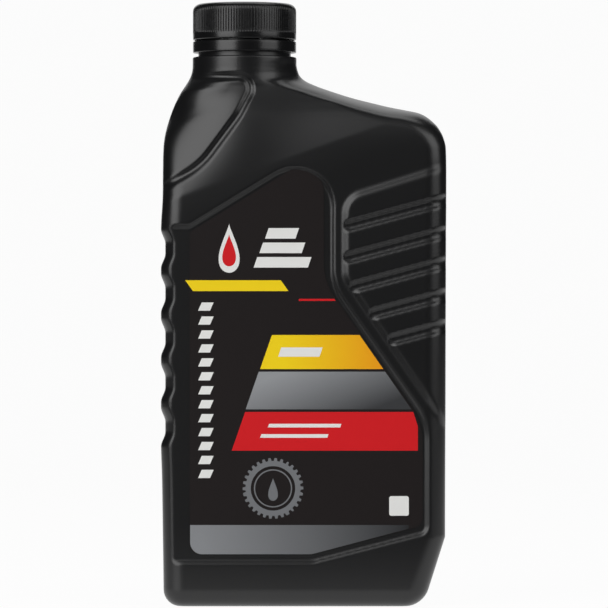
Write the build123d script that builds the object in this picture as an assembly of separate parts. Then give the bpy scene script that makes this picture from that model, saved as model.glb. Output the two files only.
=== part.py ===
from build123d import *

import math
import os

# One-quart motor oil bottle: a blow-moulded flask with an offset neck, a recessed label
# panel, ribbed grip pads and finger grooves, under a ribbed screw cap with a tamper band.
# Lengths are in millimetres. X runs across the front, -Y is the front, Z is up.
# The origin is the middle of the bottle's width and depth, on the surface it stands on.

# Body
bottle_left = -55.9
bottle_right = 55.9
body_depth = 53.0
body_corner_radius = 13.0
body_straight_height = 172.0
wall = 1.2
base_edge_radius = 6.5
facet_height = 27.0
facet_inset = 8.6
overrun = 5.0

# Shoulder, neck and collar
neck_x = -23.3
shoulder_height = 37.0
collar_radius = 20.4
collar_height = 4.6
collar_step = 0.6
collar_overlap = 1.0
neck_post_radius = 18.1
neck_wall_radius = 17.55
neck_bore_radius = 15.6
neck_lip_round = 0.5
funnel_height = 5.0

# Shoulder break, a sloping facet that leaves the flat front along a slanted line
break_right_x = 42.0
break_right_rise = 19.2
break_left_x = -46.7
break_left_drop = 12.5

# Shares of the way from the body's straight part to the collar: height, left, right, depth, corner
shoulder_shares = (
    (0.000, 0.000, 0.000, 0.000, 0.000),
    (0.160, 0.040, 0.004, 0.004, 0.005),
    (0.300, 0.090, 0.022, 0.020, 0.020),
    (0.400, 0.145, 0.055, 0.060, 0.045),
    (0.480, 0.200, 0.105, 0.125, 0.080),
    (0.540, 0.250, 0.170, 0.210, 0.120),
    (0.580, 0.290, 0.260, 0.290, 0.160),
    (0.620, 0.335, 0.375, 0.370, 0.210),
    (0.680, 0.410, 0.520, 0.470, 0.290),
    (0.750, 0.515, 0.665, 0.580, 0.400),
    (0.820, 0.640, 0.795, 0.690, 0.540),
    (0.890, 0.780, 0.900, 0.810, 0.710),
    (0.950, 0.900, 0.968, 0.915, 0.870),
    (1.000, 1.000, 1.000, 1.000, 0.985),
)

# Label panel, sunk in the front, its floor drawn from the left edge round to the left edge
panel_depth = 1.2
panel_bevel = 2.0
panel_top_z = 146.6
panel_step_x = -44.0
panel_peak_slope = 31.7
panel_inner_x = 10.4
panel_peak_radius = 12.0
panel_bend_z = 124.0
panel_bend_radius = 22.0
panel_right_x = 47.0
panel_right_z = 71.6
panel_foot_right_z = 29.6
panel_foot_radius = 2.5
panel_foot_x = 3.0
panel_foot_z = 18.3
panel_foot_bend = 10.0

# Front label
label_thickness = 0.25
label_left_x = -44.3
label_gap = 1.0
label_side_gap = 2.7
label_corner_radius = 4.1
label_tip_radius = 3.0
label_foot_gap = 2.2

# Grip pads
pad_height = 1.2
pad_bevel = 3.1
pad_inner_x = 14.3
pad_top_z = 163.5
pad_top_slope = 9.6
pad_corner_radius = 13.0
pad_bend_z = 126.9
pad_bend_radius = 20.0
pad_low_z = 64.4
groove_count = 5
groove_pitch = 12.25
groove_width = 4.5
groove_slope = 14.9
groove_first_z = 155.8
groove_left_x = 18.0
groove_flare = 0.8

# Finger grooves down the left side
finger_count = 5
finger_pitch = 17.3
finger_first_z = 138.9
finger_depth = 1.7
finger_floor = 7.6
finger_mouth = 12.6

# Channel round the leaf on the shoulder
channel_width = 2.1
channel_depth = 0.9
channel_start_x = -40.7
channel_top_z = 205.7
channel_turn_x = -15.6
channel_turn_radius = 3.4
channel_mid_x = -25.0
channel_mid_z = 189.5
channel_low_x = -40.0
channel_low_z = 171.0
channel_exit_x = -57.0
channel_exit_z = 161.5
channel_bend_radius = 30.0

# Base
push_up_height = 2.4
foot_ring = 6.0
push_up_bevel = 3.0

# Cap, its liner and the tamper band
cap_radius = 20.25
cap_height = 14.25
cap_wall = 1.35
cap_top_wall = 1.4
cap_top_round = 3.2
cap_rib_count = 116
cap_rib_depth = 0.35
cap_hem = 2.3
cap_rib_land = 0.15
liner_thickness = 0.8
liner_clearance = 0.2
liner_side_clearance = 0.2
band_slit = 0.5
band_gap = 1.9
band_height = 4.75
band_wall = 0.75
band_lip_height = 0.9
bead_radius = 19.15
bead_height = 1.6
bead_ramp = 1.1
band_clearance = 0.2
bridge_count = 8
bridge_width = 1.1
bridge_clearance = 0.1
bridge_turn = 20.0

# Share of the pitch between ribs that a notch's mouth takes, measured past the rim
notch_share = 0.9

# Heights that follow from the stack of body, shoulder, collar, band and cap
half_depth = body_depth / 2
collar_bottom_z = body_straight_height + shoulder_height
collar_top_z = collar_bottom_z + collar_height
band_bottom_z = collar_top_z + band_gap
band_top_z = band_bottom_z + band_height
cap_skirt_z = band_top_z + band_slit
cap_top_z = cap_skirt_z + cap_height
liner_bottom_z = cap_top_z - cap_top_wall - liner_thickness
neck_top_z = liner_bottom_z - liner_clearance
break_right_z = body_straight_height + break_right_rise
break_left_z = body_straight_height - break_left_drop
neck = Pos(neck_x, 0, 0)


def rounded_section(left, right, depth, radius, z):
    """A rounded rectangle across the bottle at height z."""
    middle = (left + right) / 2
    return Pos(middle, 0, z) * RectangleRounded(right - left, 2 * depth, radius)


def blend(start, end, share):
    """The value a share of the way from start to end."""
    return start + (end - start) * share


def shoulder(inset):
    """Loft from the body's section to the round collar."""
    left, right = bottle_left + inset, bottle_right - inset
    depth, corner = half_depth - inset, body_corner_radius - inset
    top = collar_radius - collar_step - inset
    sections = []
    for height, to_left, to_right, to_depth, to_corner in shoulder_shares:
        sections.append(
            rounded_section(
                blend(left, neck_x - top, to_left),
                blend(right, neck_x + top, to_right),
                blend(depth, top, to_depth),
                blend(corner, top, to_corner),
                blend(body_straight_height, collar_bottom_z, height) - inset,
            )
        )
    return loft(sections)


def straight_body(inset):
    """The straight flask, its lower right side slanted inwards by an oblique cut."""
    left, right = bottle_left + inset, bottle_right - inset
    depth, corner = half_depth - inset, body_corner_radius - inset
    section = rounded_section(left, right, depth, corner, facet_height)
    above = extrude(section, body_straight_height - inset - facet_height)
    drop = facet_height - inset
    slope = facet_inset / facet_height
    reach = drop * math.hypot(1, slope)
    foot = extrude(section, drop, dir=(0, 0, -1))
    slanted = rounded_section(left - body_depth, right, depth, corner, facet_height)
    foot &= extrude(slanted, reach, dir=(-slope, 0, -1))
    foot = fillet(foot.faces().sort_by(Axis.Z)[0].edges(), base_edge_radius - inset)
    return foot + above


def upright(outline, y):
    """Stand a sketch drawn in X and Z up at depth y."""
    return Pos(0, y, 0) * (Plane.XZ * outline)


def front_prism(outline, y_from, y_to):
    """Extrude a sketch drawn in X and Z between two depths."""
    return extrude(upright(outline, y_to), y_to - y_from)


def break_wedge(inset):
    """The slab in front of the shoulder facet, which leans back to the collar."""
    run_x = break_left_x - break_right_x
    run_z = break_left_z - break_right_z
    length = math.hypot(run_x, run_z)
    normal_x, normal_z = run_z / length, -run_x / length
    to_neck = (neck_x - break_right_x) * normal_x + (collar_bottom_z - break_right_z) * normal_z
    lean = (half_depth - collar_radius) / to_neck
    facet = Plane(
        origin=(break_right_x, -half_depth + inset, break_right_z),
        x_dir=(run_x, 0, run_z),
        z_dir=(lean * -normal_x, 1, lean * -normal_z),
    )
    size = 2 * collar_top_z
    slab = facet * Pos(0, 0, -size / 2) * Box(size, size, size)
    return slab


def skin(inset):
    """The smooth bottle before its relief, up to the collar."""
    body = straight_body(inset) + shoulder(inset)
    wedge = break_wedge(inset)
    return body - wedge - mirror(wedge, Plane.XZ)


def panel_outline(gap):
    """The panel floor's outline, grown by a gap, open past the left edge."""
    rise = math.tan(math.radians(panel_peak_slope))
    left = bottle_left - overrun
    peak_z = panel_top_z + (panel_inner_x - panel_step_x) * rise
    line = FilletPolyline(
        (left, panel_top_z),
        (panel_step_x, panel_top_z),
        (panel_inner_x, peak_z),
        (panel_inner_x, panel_bend_z),
        (panel_right_x, panel_right_z),
        (panel_right_x, panel_foot_right_z),
        (panel_foot_x, panel_foot_z),
        (left, panel_foot_z),
        radius=(
            panel_foot_radius,
            panel_peak_radius,
            panel_bend_radius,
            panel_bend_radius,
            panel_foot_radius,
            panel_foot_bend,
        ),
    )
    outline = make_face(line + Line(line @ 1, line @ 0))
    return offset(outline, gap, kind=Kind.INTERSECTION) if gap else outline


def panel_recess(inset):
    """A flat-floored recess with a bevelled border, cut in from the front."""
    grown = panel_bevel + inset
    floor = panel_outline(inset)
    mouth = panel_outline(grown)
    floor_y = -half_depth + panel_depth + inset
    steps = [
        upright(floor, floor_y),
        upright(mouth, floor_y - panel_depth),
    ]
    recess = loft(steps, ruled=True)
    return recess + front_prism(mouth, floor_y - panel_depth - overrun, floor_y - panel_depth)


def pad_outline(gap):
    """The grip pad's outline, grown by a gap, open past the right edge."""
    rise = math.tan(math.radians(pad_top_slope))
    right = bottle_right + overrun
    fall = (pad_bend_z - pad_low_z) / (bottle_right - pad_inner_x)
    line = FilletPolyline(
        (right, pad_top_z + (right - pad_inner_x) * rise),
        (pad_inner_x, pad_top_z),
        (pad_inner_x, pad_bend_z),
        (right, pad_bend_z - (right - pad_inner_x) * fall),
        radius=(pad_corner_radius, pad_bend_radius),
    )
    outline = make_face(line + Line(line @ 1, line @ 0))
    return offset(outline, gap, kind=Kind.INTERSECTION) if gap else outline


def grip_groove(z):
    """One slanted groove with flared walls, open past the right edge."""
    length = 2 * (bottle_right - groove_left_x)
    tilted = Pos(groove_left_x, z) * Rot(0, 0, groove_slope)
    middle = tilted * Pos(length / 2, 0)
    narrow = middle * Rectangle(length, groove_width - 2 * groove_flare)
    wide = middle * Rectangle(length + 2 * groove_flare, groove_width)
    floor_y = -half_depth
    steps = [
        upright(narrow, floor_y),
        upright(wide, floor_y - pad_height),
    ]
    groove = loft(steps, ruled=True) + front_prism(narrow, floor_y, floor_y + half_depth)
    return groove


def grip_pad(body):
    """A raised pad that follows the body, crossed by slanted grooves."""
    top_y = -half_depth - pad_height
    steps = [
        upright(pad_outline(0), -half_depth),
        upright(pad_outline(-pad_bevel), top_y),
    ]
    pad = loft(steps, ruled=True) + front_prism(pad_outline(0), -half_depth, -half_depth / 2)
    for index in range(groove_count):
        drop = (bottle_right - groove_left_x) * math.tan(math.radians(groove_slope))
        pad -= grip_groove(groove_first_z - drop - index * groove_pitch)
    return pad & (Pos(0, -pad_height, 0) * body)


def finger_groove(z, inset):
    """A slab with bevelled lips, cut through the left side."""
    floor_x = bottle_left + finger_depth + inset
    lip_x = floor_x - finger_depth - overrun
    grow = (finger_mouth - finger_floor) / 2 * (finger_depth + overrun) / finger_depth
    half_floor = finger_floor / 2 + inset / 2
    inner_x = floor_x + body_corner_radius
    outline = Polygon(
        (lip_x, z - half_floor - grow),
        (floor_x, z - half_floor),
        (inner_x, z - half_floor),
        (inner_x, z + half_floor),
        (floor_x, z + half_floor),
        (lip_x, z + half_floor + grow),
        align=None,
    )
    return front_prism(outline, -body_depth, body_depth)


def finger_grooves(body, inset):
    """The row of finger grooves, cut to an even depth."""
    slabs = [finger_groove(finger_first_z - i * finger_pitch, inset) for i in range(finger_count)]
    return Part() + [slab - Pos(finger_depth, 0, 0) * body for slab in slabs]


def channel(body, inset):
    """The narrow channel that outlines the leaf, cut to an even depth."""
    path = FilletPolyline(
        (channel_start_x, channel_top_z),
        (channel_turn_x, channel_top_z),
        (channel_mid_x, channel_mid_z),
        (channel_low_x, channel_low_z),
        (channel_exit_x, channel_exit_z),
        radius=(channel_turn_radius, channel_bend_radius, channel_bend_radius),
    )
    ribbon = trace(path, channel_width + 2 * inset)
    return front_prism(ribbon, -body_depth, 0) - Pos(0, channel_depth, 0) * body


def flask(inset):
    """The body with its relief on the front and, mirrored, on the back."""
    body = skin(inset)
    recess = panel_recess(inset)
    groove = channel(body, inset)
    fingers = finger_grooves(body, inset)
    shaped = body - recess - mirror(recess, Plane.XZ)
    shaped = shaped - groove - mirror(groove, Plane.XZ) - fingers
    return shaped


def push_up():
    """The raised middle of the base, inside the ring that it stands on."""
    foot_right = bottle_right - facet_inset
    ring = base_edge_radius + foot_ring
    corner = body_corner_radius - foot_ring / 2
    mouth = rounded_section(bottle_left + ring, foot_right - ring, half_depth - ring, corner, 0)
    grown = ring + push_up_bevel
    crown = rounded_section(
        bottle_left + grown,
        foot_right - grown,
        half_depth - grown,
        corner - push_up_bevel,
        push_up_height,
    )
    return loft([mouth, crown], ruled=True)


def disc(radius, bottom, top):
    """A round block on the neck's axis between two heights."""
    return neck * Pos(0, 0, bottom) * extrude(Circle(radius), top - bottom)


def turned(points):
    """Revolve a closed half profile, given as radius and height, about the neck's axis."""
    profile = Plane.XZ * make_face(Polyline(*points, close=True))
    return neck * revolve(profile, Axis.Z)


def collar():
    """The round collar that the shoulder rises to."""
    return turned(
        (
            (0, collar_bottom_z - collar_overlap),
            (collar_radius, collar_bottom_z - collar_overlap),
            (collar_radius, collar_top_z - neck_lip_round),
            (collar_radius - neck_lip_round, collar_top_z),
            (0, collar_top_z),
        )
    )


def bottle_neck():
    """The neck's tube on the collar: post, bead that holds the tamper band, threaded wall."""
    bead_bottom_z = band_bottom_z + band_lip_height + band_clearance
    bead_top_z = bead_bottom_z + bead_height
    return turned(
        (
            (neck_bore_radius, collar_top_z),
            (neck_post_radius, collar_top_z),
            (neck_post_radius, bead_bottom_z),
            (bead_radius, bead_bottom_z),
            (bead_radius, bead_top_z - bead_ramp),
            (neck_wall_radius, bead_top_z),
            (neck_wall_radius, neck_top_z - neck_lip_round),
            (neck_wall_radius - neck_lip_round, neck_top_z),
            (neck_bore_radius, neck_top_z),
        )
    )


def neck_inside():
    """The bore, with a funnel that opens into the shoulder."""
    throat = collar_radius - 2 * collar_step - wall
    funnel_z = collar_bottom_z - wall
    return turned(
        (
            (0, funnel_z - collar_overlap),
            (throat, funnel_z - collar_overlap),
            (throat, funnel_z),
            (neck_bore_radius, funnel_z + funnel_height),
            (neck_bore_radius, collar_top_z + overrun),
            (0, collar_top_z + overrun),
        )
    )


def bottle():
    """The blow-moulded bottle up to its collar's top, hollow, with the bore through it."""
    pad = grip_pad(skin(0))
    outside = flask(0) + pad + mirror(pad, Plane.XZ) + collar() - push_up()
    floor = Pos(0, 0, wall) * push_up()
    inside = flask(wall) - floor
    return outside - inside - neck_inside()


def cap():
    """The ribbed screw cap, an open shell with a rounded top edge."""
    shell = disc(cap_radius, cap_skirt_z, cap_top_z)
    shell = fillet(shell.edges().group_by(Axis.Z)[-1], cap_top_round)
    bore = disc(cap_radius - cap_wall, cap_skirt_z - overrun, cap_top_z - cap_top_wall)
    shell -= bore
    half_notch = math.pi * cap_radius / cap_rib_count * notch_share
    notch = make_face(
        Polyline(
            (cap_radius - cap_rib_depth, 0),
            (cap_radius + cap_rib_depth, -half_notch),
            (cap_radius + cap_rib_depth, half_notch),
            close=True,
        )
    )
    notches = Sketch() + PolarLocations(0, cap_rib_count) * notch
    rib_bottom_z = cap_skirt_z + cap_hem
    rib_top_z = cap_top_z - cap_top_round - cap_rib_land
    cut = neck * Pos(0, 0, rib_bottom_z) * extrude(notches, rib_top_z - rib_bottom_z)
    return shell - cut


def cap_liner():
    """The foam disc that the cap presses on the neck's rim."""
    edge = cap_radius - cap_wall - liner_side_clearance
    return disc(edge, liner_bottom_z, liner_bottom_z + liner_thickness)


def tamper_band():
    """The ring left on the neck, hooked under its bead, with the stubs of its bridges."""
    outer = cap_radius
    inner = cap_radius - band_wall
    lip = neck_post_radius + band_clearance
    body = turned(
        (
            (outer, band_bottom_z),
            (outer, band_top_z),
            (inner, band_top_z),
            (inner, band_bottom_z + band_lip_height),
            (lip, band_bottom_z + band_lip_height),
            (lip, band_bottom_z),
        )
    )
    stub = Pos(cap_radius - band_wall / 2, 0) * Rectangle(band_wall, bridge_width)
    stubs = Sketch() + PolarLocations(0, bridge_count, bridge_turn) * stub
    bridges = neck * Pos(0, 0, band_top_z) * extrude(stubs, band_slit - bridge_clearance)
    return body + bridges


def label_outline():
    """The label's outline, each side set in from the panel side that it follows."""
    rise = math.tan(math.radians(panel_peak_slope))
    fall = (panel_bend_z - panel_right_z) / (panel_right_x - panel_inner_x)
    climb = (panel_foot_right_z - panel_foot_z) / (panel_right_x - panel_foot_x)
    inner = panel_inner_x - label_side_gap
    right = panel_right_x - label_gap
    top_z = panel_top_z - label_gap * math.hypot(1, rise)
    bend_z = panel_bend_z - label_gap * math.hypot(1, fall)
    foot_z = panel_foot_z + label_foot_gap
    line = FilletPolyline(
        (label_left_x, top_z + (label_left_x - panel_step_x) * rise),
        (inner, top_z + (inner - panel_step_x) * rise),
        (inner, bend_z - (inner - panel_inner_x) * fall),
        (right, bend_z - (right - panel_inner_x) * fall),
        (right, foot_z + (right - panel_foot_x) * climb),
        (panel_foot_x, foot_z),
        (label_left_x, foot_z),
        radius=(
            label_tip_radius,
            panel_peak_radius - label_side_gap,
            panel_bend_radius,
            panel_bend_radius,
            label_corner_radius,
            panel_foot_bend,
            label_corner_radius,
        ),
        close=True,
    )
    return make_face(line)


def front_label():
    """The sheet label that lies on the panel's floor."""
    floor_y = -half_depth + panel_depth
    return front_prism(label_outline(), floor_y - label_thickness, floor_y)


PIECES = {
    "bottle": bottle,
    "bottle_neck": bottle_neck,
    "cap": cap,
    "cap_liner": cap_liner,
    "tamper_band": tamper_band,
    "front_label": front_label,
}


def main():
    os.makedirs("parts", exist_ok=True)
    for name, make in PIECES.items():
        export_step(make(), f"parts/{name}.step")


if __name__ == "__main__":
    main()
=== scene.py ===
"""A one-quart motor oil bottle in black moulded plastic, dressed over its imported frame.

Sizes are in millimetres and are turned to metres where a mesh is written.
X runs across the front, the front faces -Y and Z is up.
"""

import logging
import math
from dataclasses import dataclass, field
from enum import Enum

import bpy
import numpy as np
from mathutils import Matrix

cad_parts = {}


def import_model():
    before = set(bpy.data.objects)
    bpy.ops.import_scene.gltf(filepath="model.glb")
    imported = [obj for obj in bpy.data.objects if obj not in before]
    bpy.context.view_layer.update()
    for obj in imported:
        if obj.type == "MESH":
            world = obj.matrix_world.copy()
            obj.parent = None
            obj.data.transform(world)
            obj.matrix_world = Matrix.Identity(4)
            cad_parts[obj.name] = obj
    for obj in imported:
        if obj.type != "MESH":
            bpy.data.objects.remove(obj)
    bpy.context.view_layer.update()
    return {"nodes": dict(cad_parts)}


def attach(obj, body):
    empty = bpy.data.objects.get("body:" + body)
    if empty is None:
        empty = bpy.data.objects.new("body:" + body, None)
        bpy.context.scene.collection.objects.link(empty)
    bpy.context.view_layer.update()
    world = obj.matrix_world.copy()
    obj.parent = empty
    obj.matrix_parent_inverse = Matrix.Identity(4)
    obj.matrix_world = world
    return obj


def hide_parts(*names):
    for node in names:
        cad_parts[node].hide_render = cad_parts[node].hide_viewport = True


LOG = logging.getLogger("oil_bottle")
MM = 0.001
FLASK = "flask"
CLOSURE = "closure"
LINER = "liner"
COAT_ROUGHNESS = 0.08
# A blown wall's waves are about 26 mm long and nine times as high as its fine grain
BROAD_PER_M = 38.0
WAVE_SHARE = 9.0
# The mould's seam: flat for 0.12 mm either side of the middle and gone at 0.35 mm
SEAM_CORE_MM = 0.12
SEAM_EDGE_MM = 0.35
SEAM_SHARE = 12.0


def linear(hex_colour: str) -> tuple[float, float, float, float]:
    """Turn an sRGB hex colour into linear light.

    Args:
        hex_colour: Six hex digits after a hash sign.

    Returns:
        Red, green, blue and full alpha.
    """
    values = [int(hex_colour[i : i + 2], 16) / 255 for i in (1, 3, 5)]
    lit = [v / 12.92 if v <= 0.04045 else ((v + 0.055) / 1.055) ** 2.4 for v in values]
    return (lit[0], lit[1], lit[2], 1.0)


def ramp(value: np.ndarray) -> np.ndarray:
    """Clip to 0..1, then ease both ends: three t squared less two t cubed."""
    t = np.clip(value, 0.0, 1.0)
    return t * t * (3.0 - 2.0 * t)


def soft_min(a: np.ndarray, b: np.ndarray, reach: float) -> np.ndarray:
    """The lower of two fields, blended by a quadratic where they lie within a reach."""
    h = np.clip(reach - np.abs(a - b), 0.0, None) / reach
    return np.minimum(a, b) - h * h * reach / 4.0


def rounded_outline(
    points: list[tuple[float, float]], radii: list[float], steps: int = 14
) -> np.ndarray:
    """Round the corners of a closed polygon with tangent arcs.

    Args:
        points: Corners in order.
        radii: One radius for each corner, 0 for a sharp one.
        steps: Points along each arc.

    Returns:
        The outline's points, one row each.
    """
    corners = np.array(points, float)
    rows = []
    for index, radius in enumerate(radii):
        corner = corners[index]
        back = corners[index - 1] - corner
        ahead = corners[(index + 1) % len(corners)] - corner
        back, ahead = back / np.hypot(*back), ahead / np.hypot(*ahead)
        if radius <= 0:
            rows.append(corner[None, :])
            continue
        half = math.acos(np.clip(back @ ahead, -1, 1)) / 2
        middle = (back + ahead) / np.hypot(*(back + ahead))
        centre = corner + middle * radius / math.sin(half)
        start = corner + back * radius / math.tan(half) - centre
        end = corner + ahead * radius / math.tan(half) - centre
        sweep = math.atan2(start[0] * end[1] - start[1] * end[0], start @ end)
        angles = np.linspace(0, sweep, steps)
        x = centre[0] + start[0] * np.cos(angles) - start[1] * np.sin(angles)
        z = centre[1] + start[0] * np.sin(angles) + start[1] * np.cos(angles)
        rows.append(np.stack([x, z], 1))
    return np.concatenate(rows)


def path_distance(x: np.ndarray, z: np.ndarray, line: np.ndarray, closed: bool) -> np.ndarray:
    """Distance from each point to a polyline: the least over its straight pieces.

    Args:
        x: Places across.
        z: Places up.
        line: The polyline's points.
        closed: Whether its last point joins its first.

    Returns:
        Distances, all positive.
    """
    ends = np.roll(line, -1, 0) if closed else line[1:]
    starts = line if closed else line[:-1]
    best = np.full(x.shape, np.inf)
    for (ax, az), (bx, bz) in zip(starts, ends):
        dx, dz = bx - ax, bz - az
        along = np.clip(((x - ax) * dx + (z - az) * dz) / max(dx * dx + dz * dz, 1e-12), 0, 1)
        best = np.minimum(best, np.hypot(x - ax - along * dx, z - az - along * dz))
    return best


def inside_distance(x: np.ndarray, z: np.ndarray, line: np.ndarray) -> np.ndarray:
    """Distance to a closed outline, positive inside: crossings of a ray tell the side.

    Args:
        x: Places across.
        z: Places up.
        line: The outline's points.

    Returns:
        Distances, negative outside.
    """
    inside = np.zeros(x.shape, bool)
    for (ax, az), (bx, bz) in zip(line, np.roll(line, -1, 0)):
        crosses = (az > z) != (bz > z)
        rise = (bz - az) if abs(bz - az) > 1e-9 else 1e-9
        inside ^= crosses & (x < (bx - ax) * (z - az) / rise + ax)
    return np.where(inside, 1.0, -1.0) * path_distance(x, z, line, True)


def table_curve(share: np.ndarray, table: np.ndarray) -> np.ndarray:
    """Read a table of shares with a smooth cubic through its rows, slopes limited to its steps.

    Args:
        share: Where to read, as values of the first column.
        table: Rows of the first column's value and what goes with it.

    Returns:
        One row for each share, one column for each of the table's other columns.
    """
    knots, values = table[:, 0], table[:, 1:]
    secant = np.diff(values, axis=0) / np.diff(knots)[:, None]
    slopes = np.zeros_like(values)
    product = secant[:-1] * secant[1:]
    total = secant[:-1] + secant[1:]
    safe = np.where(np.abs(total) < 1e-12, 1.0, total)
    slopes[1:-1] = np.where(product > 0, 2 * product / safe, 0.0)
    slopes[-1] = secant[-1]
    cell = np.clip(np.searchsorted(knots, share, side="right") - 1, 0, len(knots) - 2)
    width = np.diff(knots)[cell][:, None]
    t = ((share - knots[cell]) / np.diff(knots)[cell])[:, None]
    a, b = values[cell], values[cell + 1]
    ma, mb = slopes[cell] * width, slopes[cell + 1] * width
    return (
        (2 * t**3 - 3 * t**2 + 1) * a
        + (t**3 - 2 * t**2 + t) * ma
        + (3 * t**2 - 2 * t**3) * b
        + (t**3 - t**2) * mb
    )


def write_mesh(name: str, points: np.ndarray, faces: np.ndarray, body: str) -> bpy.types.Object:
    """Write points in millimetres and quads into a smooth mesh that rides on a body.

    Args:
        name: The piece's name.
        points: Places, one row each.
        faces: Corner numbers, one row of four each.
        body: The body that carries the piece.

    Returns:
        The new object, at the origin.
    """
    mesh = bpy.data.meshes.new(name)
    mesh.vertices.add(len(points))
    mesh.vertices.foreach_set("co", (points * MM).astype(np.float32).ravel())
    mesh.loops.add(faces.size)
    mesh.loops.foreach_set("vertex_index", faces.astype(np.int32).ravel())
    mesh.polygons.add(len(faces))
    mesh.polygons.foreach_set("loop_start", np.arange(0, faces.size, 4, dtype=np.int32))
    mesh.polygons.foreach_set("loop_total", np.full(len(faces), 4, np.int32))
    mesh.polygons.foreach_set("use_smooth", np.ones(len(faces), bool))
    mesh.update(calc_edges=True)
    mesh.validate()
    piece = bpy.data.objects.new(name, mesh)
    bpy.context.scene.collection.objects.link(piece)
    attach(piece, body)
    LOG.info("%s: %d faces, rides on %s", name, len(mesh.polygons), body)
    return piece


def grid_faces(rows: int, columns: int, around: bool) -> np.ndarray:
    """Number the corners of the quads between the points of a grid, row by row.

    Args:
        rows: Points along the grid's first side.
        columns: Points along its second side.
        around: Whether the last column joins the first.

    Returns:
        Corner numbers, one row of four each.
    """
    numbers = np.arange(rows * columns).reshape(rows, columns)
    if around:
        numbers = np.concatenate([numbers, numbers[:, :1]], 1)
    low, high = numbers[:-1], numbers[1:]
    return np.stack([low[:, :-1], low[:, 1:], high[:, 1:], high[:, :-1]], -1).reshape(-1, 4)


def grid_piece(name: str, grid: np.ndarray, body: str) -> bpy.types.Object:
    """Make a piece from a grid of points, joined round its second side.

    Args:
        name: The piece's name.
        grid: Points with shape (rows, columns, 3), counter-clockwise from above, going up.
        body: The body that carries the piece.

    Returns:
        The new object.
    """
    return write_mesh(name, grid.reshape(-1, 3), grid_faces(*grid.shape[:2], True), body)


def revolved(
    profile: np.ndarray, axis_x: float, columns: int, angle: np.ndarray | None = None
) -> np.ndarray:
    """Turn a profile of radius and height about an upright axis: x and y are the radius
    times the cosine and sine of the angle.

    Args:
        profile: Radius and height, one row each, from the axis's bottom outwards and up.
        axis_x: Where the axis stands across the front.
        columns: Steps round the turn.
        angle: The steps' own angles, where they aren't even.

    Returns:
        A grid of points with shape (rows, columns, 3).
    """
    if angle is None:
        angle = np.linspace(0, 2 * math.pi, columns, endpoint=False)
    radius, height = profile[:, 0:1], profile[:, 1:2]
    x = axis_x + radius * np.cos(angle)
    y = radius * np.sin(angle)
    return np.stack([x, y, np.broadcast_to(height, x.shape)], -1)


def dense(corners: list[tuple[float, float, float]], step: float) -> np.ndarray:
    """Walk a profile of radius, height and corner radius, rounded and cut into short steps.

    Args:
        corners: Radius, height and the radius of the round at each corner.
        step: The longest step.

    Returns:
        Radius and height, one row each.
    """
    points = [(r, z) for r, z, _ in corners]
    line = rounded_outline(points, [round_off for _, _, round_off in corners], 7)
    line = np.vstack([line, line[:1]])
    rows = []
    for start, end in zip(line[:-1], line[1:]):
        count = max(1, int(np.hypot(*(end - start)) / step))
        rows.append(start + (end - start) * np.arange(count)[:, None] / count)
    return np.concatenate(rows + [line[-1:]])


def add_node(
    tree: bpy.types.NodeTree, kind: str, links: dict | None = None, **settings: object
) -> bpy.types.Node:
    """Add one node with its settings, values and incoming links.

    Args:
        tree: The node tree.
        kind: The node's type.
        links: Input name or number to a value, or to the socket that feeds it.
        settings: The node's own properties.

    Returns:
        The node.
    """
    node = tree.nodes.new(kind)
    for key, value in settings.items():
        setattr(node, key, value)
    for key, value in (links or {}).items():
        if isinstance(value, bpy.types.NodeSocket):
            tree.links.new(value, node.inputs[key])
        else:
            node.inputs[key].default_value = value
    return node


class Grain(Enum):
    """How a moulded or printed surface is textured."""

    BLOWN = "blown"
    INJECTED = "injected"
    FILM = "film"
    FOAM = "foam"


@dataclass(frozen=True)
class Fade:
    """A second colour that an ink runs into along a direction."""

    colour: str
    across: float
    up: float
    start_mm: float
    end_mm: float


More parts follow.
